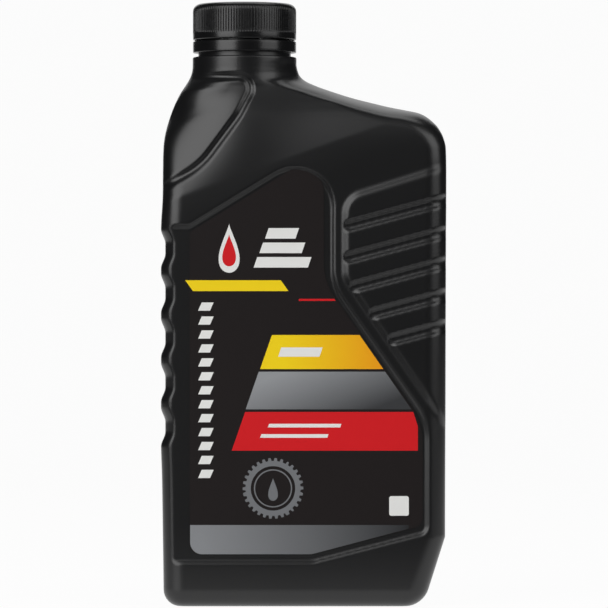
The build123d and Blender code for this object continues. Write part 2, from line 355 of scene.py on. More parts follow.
@dataclass(frozen=True)
class Finish:
    """One finish: what it is made of and how it takes the light."""

    name: str
    colour: str
    roughness: float
    ior: float
    grain: Grain
    grain_mm: float
    grain_height_mm: float
    coat: float = 0.0
    variation: float = 0.0
    fade: Fade | None = None

    def material(self) -> bpy.types.Material:
        """Build the finish's nodes: a colour that drifts a little and a fine bump.

        Returns:
            The material.
        """
        material = bpy.data.materials.new(self.name)
        material.use_nodes = True
        tree = material.node_tree
        shader = tree.nodes["Principled BSDF"]
        shader.inputs["Roughness"].default_value = self.roughness
        shader.inputs["IOR"].default_value = self.ior
        shader.inputs["Coat Weight"].default_value = self.coat
        shader.inputs["Coat Roughness"].default_value = COAT_ROUGHNESS
        place = add_node(tree, "ShaderNodeTexCoord").outputs["Object"]
        fine = add_node(
            tree,
            "ShaderNodeTexNoise",
            {"Vector": place, "Scale": 1 / (self.grain_mm * MM), "Detail": 3.0},
        )
        broad = add_node(
            tree, "ShaderNodeTexNoise", {"Vector": place, "Scale": BROAD_PER_M, "Detail": 2.0}
        )
        base = linear(self.colour)
        share = self.variation
        lifted = tuple(min(1.0, c * (1 + share) + 0.004 * share) for c in base[:3])
        mix = add_node(
            tree,
            "ShaderNodeMix",
            {0: broad.outputs["Fac"], 6: base, 7: lifted + (1.0,)},
            data_type="RGBA",
        )
        colour = mix.outputs[2]
        if self.fade:
            along = add_node(
                tree,
                "ShaderNodeVectorMath",
                {0: place, 1: (self.fade.across, 0.0, self.fade.up)},
                operation="DOT_PRODUCT",
            )
            share = add_node(
                tree,
                "ShaderNodeMapRange",
                {
                    "Value": along.outputs["Value"],
                    "From Min": self.fade.start_mm * MM,
                    "From Max": self.fade.end_mm * MM,
                },
            )
            run = {0: share.outputs[0], 6: colour, 7: linear(self.fade.colour)}
            colour = add_node(tree, "ShaderNodeMix", run, data_type="RGBA").outputs[2]
        tree.links.new(colour, shader.inputs["Base Color"])
        height = self.heights(tree, place, fine.outputs["Fac"], broad.outputs["Fac"])
        bump = add_node(
            tree,
            "ShaderNodeBump",
            {"Height": height, "Strength": 1.0, "Distance": self.grain_height_mm * MM},
        )
        tree.links.new(bump.outputs["Normal"], shader.inputs["Normal"])
        return material

    def heights(
        self,
        tree: bpy.types.NodeTree,
        place: bpy.types.NodeSocket,
        fine: bpy.types.NodeSocket,
        broad: bpy.types.NodeSocket,
    ) -> bpy.types.NodeSocket:
        """Give the bump's height, with the mould's seam where the piece is blown.

        Args:
            tree: The node tree.
            place: Object coordinates.
            fine: The fine noise.
            broad: The broad noise.

        Returns:
            The socket that holds the height.
        """
        if self.grain is not Grain.BLOWN:
            return fine
        waves = add_node(
            tree, "ShaderNodeMath", {0: broad, 1: WAVE_SHARE, 2: fine}, operation="MULTIPLY_ADD"
        ).outputs[0]
        depth = add_node(tree, "ShaderNodeSeparateXYZ", {0: place}).outputs["Y"]
        off = add_node(tree, "ShaderNodeMath", {0: depth}, operation="ABSOLUTE").outputs[0]
        seam = add_node(
            tree,
            "ShaderNodeMapRange",
            {
                "Value": off,
                "From Min": SEAM_CORE_MM * MM,
                "From Max": SEAM_EDGE_MM * MM,
                "To Min": SEAM_SHARE,
                "To Max": 0.0,
            },
        ).outputs[0]
        return add_node(tree, "ShaderNodeMath", {0: waves, 1: seam}, operation="ADD").outputs[0]


# Blow-moulded HDPE: nearly black, satin, with the slight waviness of a blown wall and a seam
BLOWN_HDPE = Finish("blow_moulded_hdpe", "#0b0b0c", 0.32, 1.54, Grain.BLOWN, 0.45, 0.004, 0.0, 0.3)
# Injection-moulded PP: the same black, a little sharper in its highlights
MOULDED_PP = Finish(
    "injection_moulded_pp", "#0b0b0c", 0.24, 1.5, Grain.INJECTED, 0.5, 0.003, 0.0, 0.2
)
# Foamed PE sheet: white and dull, with cells under a millimetre across
FOAMED_PE = Finish("foamed_pe_sheet", "#e9e7e0", 0.75, 1.5, Grain.FOAM, 0.6, 0.05, 0.0, 0.05)
# Printed film under clear varnish: flat ink with a smooth gloss
BLACK_INK = Finish("printed_film_black", "#1c1717", 0.3, 1.5, Grain.FILM, 0.7, 0.002, 0.25, 0.1)
WHITE_INK = Finish("printed_film_white", "#f2f2ef", 0.35, 1.5, Grain.FILM, 0.7, 0.002, 0.25)
RED_INK = Finish("printed_film_red", "#d8141c", 0.35, 1.5, Grain.FILM, 0.7, 0.002, 0.25, 0.05)
YELLOW_INK = Finish(
    "printed_film_yellow", "#ffdd12", 0.35, 1.5, Grain.FILM, 0.7, 0.002, 0.25, 0.0,
    Fade("#f5980c", 1.0, 0.0, -8.0, 34.0),
)
GREY_INK = Finish(
    "printed_film_grey", "#9a9c9f", 0.33, 1.5, Grain.FILM, 0.7, 0.002, 0.25, 0.0,
    Fade("#3a3b3d", 0.4, -1.0, -94.0, -66.0),
)
FOOT_INK = Finish(
    "printed_film_foot_grey", "#8b8d90", 0.33, 1.5, Grain.FILM, 0.7, 0.002, 0.25, 0.0,
    Fade("#232426", 1.0, 0.0, -40.0, 42.0),
)
RING_INK = Finish("printed_film_ring_grey", "#77797c", 0.33, 1.5, Grain.FILM, 0.7, 0.002, 0.25)


def dress(piece: bpy.types.Object, finish: Finish) -> None:
    """Give a piece one finish.

    Args:
        piece: The object to dress.
        finish: Its finish.
    """
    material = bpy.data.materials.get(finish.name) or finish.material()
    piece.data.materials.clear()
    piece.data.materials.append(material)


@dataclass
class Flask:
    """The blow-moulded body: a rounded box that lofts into a round collar, with its relief."""

    left: float = -55.6
    right: float = 55.3
    half_depth: float = 26.5
    corner: float = 8.0
    straight_top: float = 172.0
    collar_z: float = 209.0
    neck_x: float = -23.3
    shoulder_top: float = 20.35
    rim_z: float = 214.1
    ridge_drop: float = 11.0
    ridge_lip: float = 0.3
    ridge_spare: float = 3.2
    crest: float = 3.2
    crown_depth: float = 14.0
    crown_share: float = 0.8
    crown_dying: float = 0.9
    crown_end: float = 0.72
    widest_corner: float = 17.5
    post_radius: float = 18.0
    wall: float = 1.2
    edge_round: float = 6.5
    facet_height: float = 27.0
    facet_inset: float = 8.6
    foot_ring: float = 6.0
    push_up_bevel: float = 3.0
    push_up: float = 2.4
    break_line: tuple[float, float, float, float] = (42.0, 191.2, -46.7, 159.5)
    break_lift: float = 0.9
    break_blend: float = 2.6
    collar_clear: float = 5.0
    collar_from: float = 202.0
    collar_run: float = 6.0
    oval_from: float = 200.0
    oval_run: float = 8.0
    dome: tuple[float, float] = (20.0, 26.0)
    dome_fade: float = 26.0
    dome_blend: float = 3.0
    rim_round: float = 0.6
    dense_from: float = 190.0
    dense_to: float = 198.0
    columns: tuple[int, int, int, int] = (150, 12, 84, 14)
    inner_columns: tuple[int, int, int, int] = (56, 5, 40, 7)
    panel_lip: float = 0.3
    panel_blend: float = 0.25
    panel_depth: float = 1.2
    panel_bevel: float = 2.0
    pad_height: float = 1.2
    pad_bevel: float = 3.1
    groove_width: float = 4.5
    groove_bevel: float = 1.1
    groove_slope: float = 14.9
    finger_pitch: float = 17.3
    finger_first: float = 138.9
    finger_count: int = 5
    finger_half: float = 7.6
    finger_lip: float = 5.6
    finger_reach: float = 11.0
    finger_fade: float = 9.0
    finger_depth: float = 1.7
    channel_width: float = 4.4
    channel_depth: float = 1.05
    shoulder_rows: np.ndarray = field(
        default_factory=lambda: np.array(
            (
                (172.0, -54.95, 55.30, 26.50, 8.0),
                (177.9, -54.85, 55.15, 26.47, 8.4),
                (181.7, -54.55, 54.35, 26.35, 9.6),
                (186.1, -53.75, 52.20, 25.95, 12.0),
                (188.4, -53.10, 50.15, 25.60, 13.6),
                (189.6, -52.70, 48.80, 25.35, 14.6),
                (190.8, -52.30, 47.10, 25.00, 15.5),
                (191.9, -51.90, 44.80, 24.65, 16.4),
                (193.1, -51.50, 39.50, 24.15, 17.1),
                (194.3, -51.00, 33.50, 23.60, 17.8),
                (195.5, -50.50, 28.50, 23.10, 18.3),
                (197.8, -49.40, 19.45, 22.10, 19.1),
                (200.2, -48.15, 11.85, 21.30, 19.5),
                (202.5, -46.70, 5.45, 20.80, 19.8),
                (204.9, -45.25, 0.35, 20.50, 20.1),
                (206.1, -44.65, -1.06, 20.45, 20.2),
                (207.2, -44.20, -1.90, 20.40, 20.3),
                (208.4, -43.90, -2.35, 20.38, 20.35),
                (209.6, -43.72, -2.70, 20.35, 20.35),
                (211.0, -43.65, -2.95, 20.35, 20.35),
            )
        )
    )
    side_rows: np.ndarray = field(
        default_factory=lambda: np.array(
            (
                (0.0, -54.55, 54.85),
                (30.0, -54.90, 54.85),
                (50.0, -55.20, 54.90),
                (64.0, -55.60, 54.95),
                (146.0, -55.60, 55.20),
                (160.0, -54.95, 55.30),
                (172.0, -54.95, 55.30),
            )
        )
    )

    def sections(self, z: np.ndarray) -> np.ndarray:
        """Read the plain body's sections, drawn in on the right by the foot's facet.

        Args:
            z: Heights.

        Returns:
            Left, right, half depth and corner radius, one row for each height.
        """
        rows = self.shoulder_rows
        shape = table_curve(np.clip(z, self.straight_top, rows[-1, 0]), rows)
        sides = table_curve(np.clip(z, 0.0, self.straight_top), self.side_rows)
        low = (z < self.straight_top)[:, None]
        shape[:, :2] = np.where(low, sides, shape[:, :2])
        shape[:, 1] -= self.facet_inset * np.clip(1 - z / self.facet_height, 0, 1)
        return shape

    def loop(self, sections: np.ndarray, counts: tuple[int, int, int, int]) -> np.ndarray:
        """Points round each section: four straight sides and four quarter circles.

        Args:
            sections: Left, right, half depth and corner radius, one row for each height.
            counts: Columns on the front, on a side, on the back and on a corner.

        Returns:
            Places across and in depth, with shape (rows, columns, 2).
        """
        left, right, depth, corner = (sections[:, i : i + 1] for i in range(4))
        front, side, back, bend = counts
        quarter = np.arange(bend) / bend * math.pi / 2
        straight = [np.arange(n) / n for n in (front, side, back, side)]
        low_x, high_x = left + corner, right - corner
        inner = depth - corner
        parts = [
            (low_x + (high_x - low_x) * straight[0], -depth + 0 * straight[0]),
            (high_x + corner * np.sin(quarter), -inner - corner * np.cos(quarter)),
            (right + 0 * straight[1], -inner + 2 * inner * straight[1]),
            (high_x + corner * np.cos(quarter), inner + corner * np.sin(quarter)),
            (high_x - (high_x - low_x) * straight[2], depth + 0 * straight[2]),
            (low_x - corner * np.sin(quarter), inner + corner * np.cos(quarter)),
            (left + 0 * straight[3], inner - 2 * inner * straight[3]),
            (low_x - corner * np.cos(quarter), -inner - corner * np.sin(quarter)),
        ]
        x = np.concatenate([p[0] for p in parts], 1)
        y = np.concatenate([p[1] for p in parts], 1)
        return np.stack([x, y], -1)

    def rounded(
        self, plan: np.ndarray, shape: np.ndarray, z: np.ndarray
    ) -> tuple[np.ndarray, np.ndarray]:
        """Ease each section from its rounded box to the ellipse that fits the same box, as the
        heights near the collar.

        Args:
            plan: Places across and in depth.
            shape: Left, right, half depth and corner radius of each section.
            z: Heights.

        Returns:
            The new places across and in depth.
        """
        middle = (shape[:, 0:1] + shape[:, 1:2]) / 2
        half = (shape[:, 1:2] - shape[:, 0:1]) / 2
        x, y = plan[..., 0] - middle, plan[..., 1]
        share = ramp((z - self.oval_from) / self.oval_run)[:, None]
        factor = 1.0 + share * (1.0 / np.maximum(np.hypot(x / half, y / shape[:, 2:3]), 0.5) - 1.0)
        return middle + x * factor, y * factor

    def panel_line(self) -> np.ndarray:
        """The label panel's floor outline, open past the left edge."""
        rise = math.tan(math.radians(31.7))
        peak = 146.6 + (10.4 + 44.0) * rise
        corners = [
            (-62.0, 146.6),
            (-44.0, 146.6),
            (10.4, peak),
            (10.4, 124.0),
            (47.0, 71.6),
            (47.0, 29.6),
            (3.0, 18.3),
            (-62.0, 18.3),
        ]
        return rounded_outline(corners, [0, 2.5, 14.0, 22.0, 22.0, 2.5, 10.0, 0])

    def pad_line(self) -> np.ndarray:
        """The grip pad's outline, open past the right edge."""
        rise = math.tan(math.radians(17.3))
        fall = 1.4525
        reach = 66.0
        corners = [
            (reach, 159.6 + (reach - 14.3) * rise),
            (14.3, 159.6),
            (14.3, 126.9),
            (reach, 126.9 - (reach - 14.3) * fall),
        ]
        return rounded_outline(corners, [0, 10.0, 10.0, 0])

    def channel_line(self) -> np.ndarray:
        """The middle line of the channel that outlines the leaf."""
        corners = [
            (-43.0, 205.7),
            (-17.7, 205.9),
            (-25.6, 190.4),
            (-40.0, 171.0),
            (-57.5, 161.2),
        ]
        return rounded_outline(corners, [0, 4.8, 30.0, 30.0, 0])

    def grooves(self, x: np.ndarray, z: np.ndarray) -> np.ndarray:
        """How deep each place lies in a slanted groove, rounded at its left end.

        Args:
            x: Places across.
            z: Heights.

        Returns:
            Shares of the groove's depth, 0 to 1.
        """
        slope = math.radians(self.groove_slope)
        deepest = np.zeros(x.shape)
        starts = [(16.0, 147.3), (16.0, 134.9), (18.4, 123.7), (25.9, 113.3), (33.2, 103.3)]
        for start_x, start_z in starts:
            along = (x - start_x) * math.cos(slope) + (z - start_z) * math.sin(slope)
            across = (z - start_z) * math.cos(slope) - (x - start_x) * math.sin(slope)
            gap = self.groove_width / 2 - np.hypot(np.clip(-along + 1.5, 0, None), across)
            deepest = np.maximum(deepest, ramp(gap / self.groove_bevel))
        return deepest

    def fingers(self, z: np.ndarray) -> np.ndarray:
        """How deep each height lies in a finger groove: narrow floors, long lips.

        Args:
            z: Heights.

        Returns:
            Shares of the groove's depth, 0 to 1.
        """
        deepest = np.zeros(z.shape)
        for index in range(self.finger_count):
            off = np.abs(z - self.finger_first + index * self.finger_pitch)
            deepest = np.maximum(deepest, ramp((self.finger_half - off) / self.finger_lip))
        return deepest

    def neck_crown(self, x: np.ndarray, rise: np.ndarray) -> np.ndarray:
        """How far the shoulder falls back either side of the neck's axis: the radius times
        the root of one plus the squared offset, less one, growing with the rise to the
        collar and dying away to the right.

        Args:
            x: Places across.
            rise: Share of the way from the shoulder's break to the collar.

        Returns:
            Depths to take off.
        """
        off = (x - self.neck_x) / self.shoulder_top
        fall = self.shoulder_top * (np.sqrt(1.0 + off * off) - 1.0)
        dying = 1.0 / (1.0 + np.clip(off, 0.0, None) ** 2 * self.crown_dying)
        sections_round = 1.0 - ramp((rise - self.crown_end) / (1.0 - self.crown_end))
        return self.crown_share * rise * fall * dying * sections_round

    def ridge(self, x: np.ndarray, z: np.ndarray) -> np.ndarray:
        """How deep the shoulder may be below its top line: a quarter ellipse of the drop, and
        never less than the crest's half thickness, so that the two sides don't cross.

        Args:
            x: Places across.
            z: Heights.

        Returns:
            The greatest depths.
        """
        rows = self.shoulder_rows
        places = np.clip(x, rows[-1, 2], self.right).ravel()
        top_line = table_curve(places, rows[::-1][:, [2, 0]]).reshape(x.shape)
        drop = np.clip((top_line - z + self.ridge_lip) / self.ridge_drop, 0.0, 1.0)
        widest = self.half_depth + self.ridge_spare
        return np.maximum(widest * np.sqrt(1.0 - (1.0 - drop) ** 2), self.crest)

    def relief(self, x: np.ndarray, y: np.ndarray, z: np.ndarray) -> tuple[np.ndarray, np.ndarray]:
        """Press the relief into the plain body: depths along Y, finger grooves along X.

        Args:
            x: Places across.
            y: Places in depth.
            z: Heights.

        Returns:
            The new places across and in depth.
        """
        side = np.sign(y)
        depth = np.abs(y)
        right_x, right_z, left_x, left_z = self.break_line
        run = math.hypot(left_x - right_x, left_z - right_z)
        up_x, up_z = (left_z - right_z) / run, (right_x - left_x) / run
        off_line = (x - right_x) * up_x + (z - right_z) * up_z
        reach = (self.neck_x - right_x) * up_x + (self.collar_z - right_z) * up_z
        lean = (self.half_depth - self.shoulder_top) / reach
        clear = self.collar_clear * ramp((z - self.collar_from) / self.collar_run)
        slanted = self.half_depth + self.break_lift - lean * off_line + clear
        depth = soft_min(depth, slanted, self.break_blend)
        dome_left, dome_right = self.dome
        domed = 1.0 - ramp((dome_left - x) / self.dome_fade)
        domed = domed * (1.0 - ramp((x - dome_right) / self.dome_fade))
        depth = depth + domed * (soft_min(depth, self.ridge(x, z), self.dome_blend) - depth)
        crown = self.neck_crown(x, np.clip(off_line / reach, 0.0, 1.0))
        depth = depth - crown * np.clip(depth / self.crown_depth, 0.0, 1.0)
        panel = ramp(1 + inside_distance(x, z, self.panel_line()) / self.panel_bevel)
        floor = self.half_depth + self.panel_lip - (self.panel_depth + self.panel_lip) * panel
        depth = soft_min(depth, floor, self.panel_blend)
        pad = ramp(inside_distance(x, z, self.pad_line()) / self.pad_bevel)
        rounding = np.clip(np.abs(y) / (self.half_depth - self.corner), 0, 1)
        depth = depth + self.pad_height * pad * (1 - self.grooves(x, z)) * rounding
        away = path_distance(x, z, self.channel_line(), False) / (self.channel_width / 2)
        depth = depth - self.channel_depth * ramp(1.05 * (1 - away)) * rounding
        at_left = ramp((self.left + self.finger_reach - x) / self.finger_fade)
        new_x = x + self.finger_depth * self.fingers(z) * at_left
        return new_x, side * depth

    def outside(self) -> np.ndarray:
        """The outer surface: the base closes at its middle, the wall rises to the collar."""
        arc = np.linspace(0, math.pi / 2, 9)[:-1]
        ring = self.edge_round + self.foot_ring
        bevel = ring + self.push_up_bevel
        rows = [(bevel, self.push_up), (bevel - 1.0, self.push_up - 0.5), (ring, 0.0)]
        rows += [(ring - 1.0, 0.0)]
        rows += [
            (self.edge_round * (1 - math.sin(a)), self.edge_round * (1 - math.cos(a))) for a in arc
        ]
        low = np.array(rows)
        straight = np.linspace(self.edge_round, self.straight_top, 194)
        rising = np.linspace(self.straight_top, self.dense_from, 27)[1:]
        flat = np.linspace(self.dense_from, self.dense_to, 30)[1:]
        last = np.linspace(self.dense_to, self.rim_z - self.rim_round, 40)[1:]
        turn = np.linspace(0, math.pi / 2, 5)[1:]
        rim = self.rim_round * np.stack([1 - np.cos(turn), np.sin(turn) - 1], 1)
        rim[:, 1] += self.rim_z
        rim = np.vstack([rim, [(self.shoulder_top - self.post_radius, self.rim_z)]])
        z = np.concatenate([low[:, 1], straight, rising, flat, last, rim[:, 1]])
        plain = np.zeros(len(z) - len(low) - len(rim))
        inset = np.concatenate([low[:, 0], plain, rim[:, 0]])[:, None]
        shape = self.sections(z)
        shape = shape + inset * np.array([[1.0, -1.0, -1.0, -1.0]])
        shape[:, 3] = np.clip(shape[:, 3], 3.0, self.widest_corner)
        plan = self.loop(shape, self.columns)
        x, y = self.rounded(plan, shape, z)
        height = np.broadcast_to(z[:, None], x.shape)
        new_x, new_y = self.relief(x, y, height)
        grid = np.stack([new_x, new_y, height], -1)
        middle = grid[:1].mean(1, keepdims=True)
        shrunk = [middle + (grid[:1] - middle) * share for share in (0.002, 0.5)]
        return np.concatenate(shrunk + [grid])

    def inside(self) -> np.ndarray:
        """The inner surface, a wall's thickness in from the outer one, facing the hollow."""
        straight = np.linspace(6.0, self.straight_top, 84)
        rising = np.linspace(self.straight_top, self.collar_z, 46)[1:]
        z = np.concatenate([straight, rising])
        shape = self.sections(z) + self.wall * np.array([[1.0, -1.0, -1.0, -1.0]])
        plan = self.loop(shape, self.inner_columns)
        x, y = plan[..., 0], plan[..., 1]
        height = np.broadcast_to(z[:, None], x.shape)
        new_x, new_y = self.relief(x, y * 0.985, height)
        deepest = self.half_depth - self.panel_depth - self.wall
        new_y = np.sign(new_y) * np.minimum(np.abs(new_y), deepest)
        grid = np.stack([new_x, new_y, height - self.wall], -1)
        floor = grid[:1].copy()
        floor[..., 2] = self.push_up + self.wall
        middle = floor.mean(1, keepdims=True)
        shrunk = [middle + (floor - middle) * share for share in (0.002, 0.6, 0.95)]
        return np.concatenate(shrunk + [grid])[:, ::-1]

    def build(self) -> None:
        """Make the flask's outer and inner surfaces and dress them."""
        skin = grid_piece("flask_skin", self.outside(), FLASK)
        dress(skin, BLOWN_HDPE)
        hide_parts("bottle")
        hollow = grid_piece("flask_hollow", self.inside(), FLASK)
        dress(hollow, BLOWN_HDPE)


@dataclass
class Neck:
    """Post, bead and threaded wall, turned about the neck's axis, open through."""

    axis_x: float = -23.3
    post_radius: float = 18.1
    wall_radius: float = 17.55
    bore_radius: float = 15.6
    top_z: float = 232.6
    lead: float = 4.23
    ridge_height: float = 1.15
    thread_start: float = 220.4
    thread_turns: float = 2.1
    thread_width: float = 2.4
    thread_root: float = 0.2
    columns: int = 128

    def profile(self) -> np.ndarray:
        """The closed section, outside upwards, then over the lip and down the bore."""
        corners = [
            (self.post_radius, 212.0, 0.2),
            (self.post_radius, 216.6, 0.2),
            (19.15, 216.6, 0.15),
            (19.15, 217.1, 0.15),
            (self.wall_radius, 218.2, 0.3),
            (self.wall_radius, self.top_z, 0.5),
            (self.bore_radius, self.top_z, 0.5),
            (self.bore_radius, 212.8, 1.5),
            (16.6, 209.0, 0.3),
            (self.post_radius - 0.4, 210.2, 0.2),
        ]
        return dense(corners, 1.2)

    def build(self) -> None:
        """Make the neck and its screw thread."""
        neck = grid_piece("neck_finish", revolved(self.profile(), self.axis_x, self.columns), FLASK)
        dress(neck, BLOWN_HDPE)
        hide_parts("bottle_neck")
        thread = helical_ridge(
            self.axis_x,
            self.wall_radius - self.thread_root,
            self.thread_start,
            self.lead,
            self.thread_turns,
            self.thread_width,
            self.ridge_height + self.thread_root,
        )
        ridge = grid_piece("neck_thread", thread, FLASK)
        dress(ridge, BLOWN_HDPE)


def helical_ridge(
    axis_x: float,
    radius: float,
    start_z: float,
    lead: float,
    turns: float,
    width: float,
    height: float,
) -> np.ndarray:
    """A thread ridge: a trapezoid carried up a helix and faded at both ends.

    Args:
        axis_x: Where the axis stands.
        radius: Root radius.
        start_z: Height of the helix's start.
        lead: Rise for each turn.
        turns: How many turns it makes.
        width: Width at the root.
        height: How far the crest stands out; negative for a thread that stands in.

    Returns:
        A grid of points, one row for each step along the helix.
    """
    steps = int(96 * turns)
    t = np.linspace(0, 1, steps)[:, None]
    angle = 2 * math.pi * turns * t
    fade = ramp(np.minimum(t, 1 - t) * turns * 6.0)
    across = np.array([-0.5, -0.2, -0.08, 0.08, 0.2, 0.5])[None, ::-1]
    out = np.array([0.0, 0.85, 1.0, 1.0, 0.85, 0.0])[None, :]
    reach = radius + height * out * fade
    x = axis_x + reach * np.cos(angle)
    y = reach * np.sin(angle)
    z = start_z + lead * turns * t + (across if height > 0 else -across) * width
    return np.stack([x, y, np.broadcast_to(z, x.shape)], -1)


@dataclass
class Closure:
    """The ribbed screw cap with its thread and liner, and the tamper band below it."""

    axis_x: float = -23.3
    radius: float = 20.25
    top_z: float = 235.0
    skirt_z: float = 220.75
    wall: float = 1.35
    top_wall: float = 1.4
    top_round: float = 3.0
    recess: float = 0.3
    recess_inset: float = 4.4
    ribs: int = 116
    rib_depth: float = 0.5
    lip_share: float = 0.02
    rib_low: float = 223.2
    rib_high: float = 232.3
    band_bottom: float = 215.8
    band_wall: float = 0.75
    slit: float = 0.5
    liner_gap: float = 0.2
    liner_thickness: float = 0.8
    lead: float = 4.23
    thread_start: float = 221.9
    thread_turns: float = 1.9
    thread_width: float = 1.8
    thread_height: float = 1.1
    thread_root: float = 0.1
    bridges: int = 8
    first_bridge: float = 20.0
    bridge_half_turn: float = 0.04
    bridge_wall: float = 0.65

    def cap(self) -> np.ndarray:
        """The cap's surface: between flat crests its radius dips in straight-sided grooves, as
        a triangle wave of the rib count times the angle, faded at both ends of the ribs."""
        inner = self.radius - self.wall
        under = self.top_z - self.top_wall
        corners = [
            (0.01, under, 0.0),
            (inner, under, 0.6),
            (inner, self.skirt_z, 0.25),
            (self.radius, self.skirt_z, 0.5),
            *((self.radius, z, 0.0) for z in (222.6, 222.9, 223.2, 223.45, 223.75, 224.1, 224.5)),
            (self.radius, self.top_z, self.top_round),
            (self.radius - self.recess_inset, self.top_z, 0.3),
            (self.radius - self.recess_inset - 0.4, self.top_z - self.recess, 0.3),
            (0.01, self.top_z - self.recess, 0.0),
        ]
        profile = dense(corners, 1.3)[:-1]
        stops = np.array([-0.2, 0.2, 0.25, 0.375, 0.5, 0.625, 0.75])
        phase = (np.arange(self.ribs)[:, None] + stops).ravel()
        angle = 2 * math.pi * phase / self.ribs
        grid = revolved(profile, self.axis_x, len(angle), angle)
        angle = angle[None, :]
        radius, height = profile[:, 0:1], profile[:, 1:2]
        outer = ramp((radius - self.radius + 0.9) / 0.5)
        span = ramp((height - self.rib_low) / 0.9) * ramp((self.rib_high + 1.0 - height) / 1.4)
        groove = np.clip((0.5 - np.abs(phase % 1.0 - 0.5) - 0.25) / 0.25, 0, 1)
        groove = np.maximum(groove, self.lip_share * (np.abs(phase % 1.0 - 0.5) < 0.26))
        dip = self.rib_depth * groove * span * outer
        grid[..., 0] -= dip * np.cos(angle)
        grid[..., 1] -= dip * np.sin(angle)
        return grid

    def band(self) -> np.ndarray:
        """The tamper band's closed section, hooked inwards under the neck's bead."""
        top = self.skirt_z - self.slit
        corners = [
            (18.3, self.band_bottom, 0.15),
            (self.radius, self.band_bottom, 0.35),
            (self.radius, top, 0.45),
            (self.radius - self.band_wall, top, 0.1),
            (self.radius - self.band_wall, self.band_bottom + 0.9, 0.1),
            (18.3, self.band_bottom + 0.9, 0.1),
        ]
        return revolved(dense(corners, 0.9), self.axis_x, 160)

    def bridge(self, turn: float) -> np.ndarray:
        """Make one bridge's stub: a small block across the slit, bent to the band's radius.

        Args:
            turn: Where it stands round the neck's axis.

        Returns:
            A grid of points with shape (rows, 4, 3), drawn in at both ends.
        """
        angle = turn + self.bridge_half_turn * np.array([-1, 1, 1, -1])
        radius = self.radius - self.bridge_wall * np.array([0, 0, 1, 1])
        x = self.axis_x + radius * np.cos(angle)
        y = radius * np.sin(angle)
        low = self.skirt_z - self.slit - 0.1
        levels = [low, low, self.skirt_z - 0.08, self.skirt_z - 0.08]
        scales = [0.02, 1.0, 1.0, 0.02]
        middle_x, middle_y = x.mean(), y.mean()
        scale = np.array(scales)[:, None]
        across = middle_x + (x - middle_x) * scale
        deep = middle_y + (y - middle_y) * scale
        return np.stack([across, deep, np.broadcast_to(np.array(levels)[:, None], (4, 4))], -1)

    def liner(self) -> np.ndarray:
        """The liner: a thin disc under the cap's top."""
        top = self.top_z - self.top_wall
        edge = self.radius - self.wall - self.liner_gap
        low = top - self.liner_thickness
        corners = [(0.01, low, 0.0), (edge, low, 0.2), (edge, top, 0.2), (0.01, top, 0.0)]
        return revolved(dense(corners, 2.0)[:-1], self.axis_x, 96)

    def build(self) -> None:
        """Make the cap, its thread, the liner, the band and its bridges."""
        cap = grid_piece("ribbed_cap", self.cap(), CLOSURE)
        dress(cap, MOULDED_PP)
        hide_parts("cap")
        thread = helical_ridge(
            self.axis_x,
            self.radius - self.wall + self.thread_root,
            self.thread_start,
            self.lead,
            self.thread_turns,
            self.thread_width,
            -self.thread_height,
        )
        ridge = grid_piece("cap_thread", thread, CLOSURE)
        dress(ridge, MOULDED_PP)
        liner = grid_piece("foam_liner", self.liner(), LINER)
        dress(liner, FOAMED_PE)
        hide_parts("cap_liner")
        band = grid_piece("tamper_ring", self.band(), FLASK)
        dress(band, MOULDED_PP)
        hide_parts("tamper_band")
        for index in range(self.bridges):
            turn = math.radians(self.first_bridge + 360.0 / self.bridges * index)
            stub = grid_piece(f"bridge_{index + 1}", self.bridge(turn), FLASK)
            dress(stub, MOULDED_PP)


